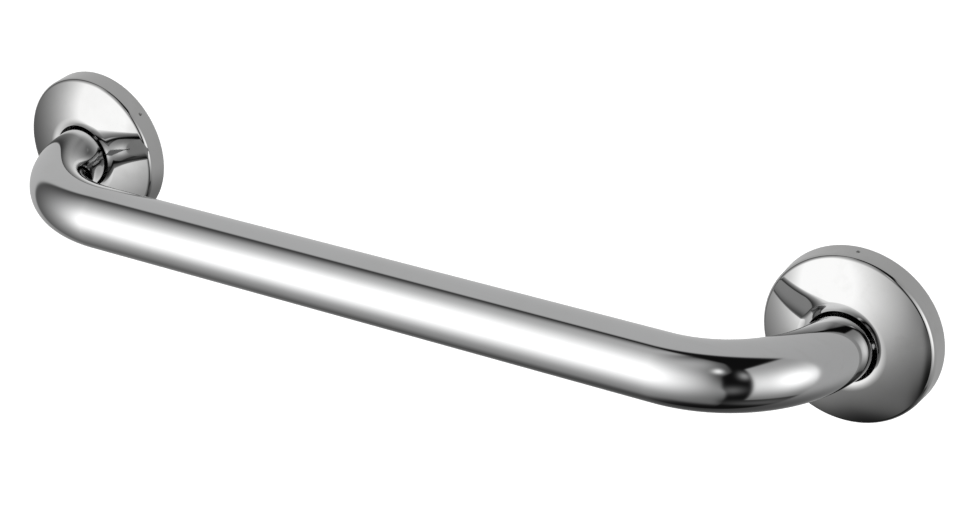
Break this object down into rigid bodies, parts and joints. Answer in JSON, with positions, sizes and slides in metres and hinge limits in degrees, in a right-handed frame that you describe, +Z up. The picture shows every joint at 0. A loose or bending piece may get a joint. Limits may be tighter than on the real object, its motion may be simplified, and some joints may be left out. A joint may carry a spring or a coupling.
{
  "type": "grab bar",
  "caption": "Straight wall grab bar: a bright tube bent back to the wall at both ends, welded to round plates whose screws are hidden by round domed covers.",
  "frame": {"origin": "on the wall plane, midway between the two mounting plates", "axes": "+X along the bar, to the right seen from the room; +Y into the wall; +Z up"},
  "size_m": [0.5236, 0.088, 0.0836],
  "materials": {
    "tube_chrome": "polished",
    "cover_chrome": "polished",
    "plate_steel": "turned",
    "weld_steel": "as welded"
  },
  "bodies": {
    "root": {"bar_tube": "tube_chrome", "left_mounting_plate": "plate_steel", "right_mounting_plate": "plate_steel", "left_weld": "weld_steel", "right_weld": "weld_steel", "left_cover": "cover_chrome", "right_cover": "cover_chrome"}
  },
  "joints": []
}
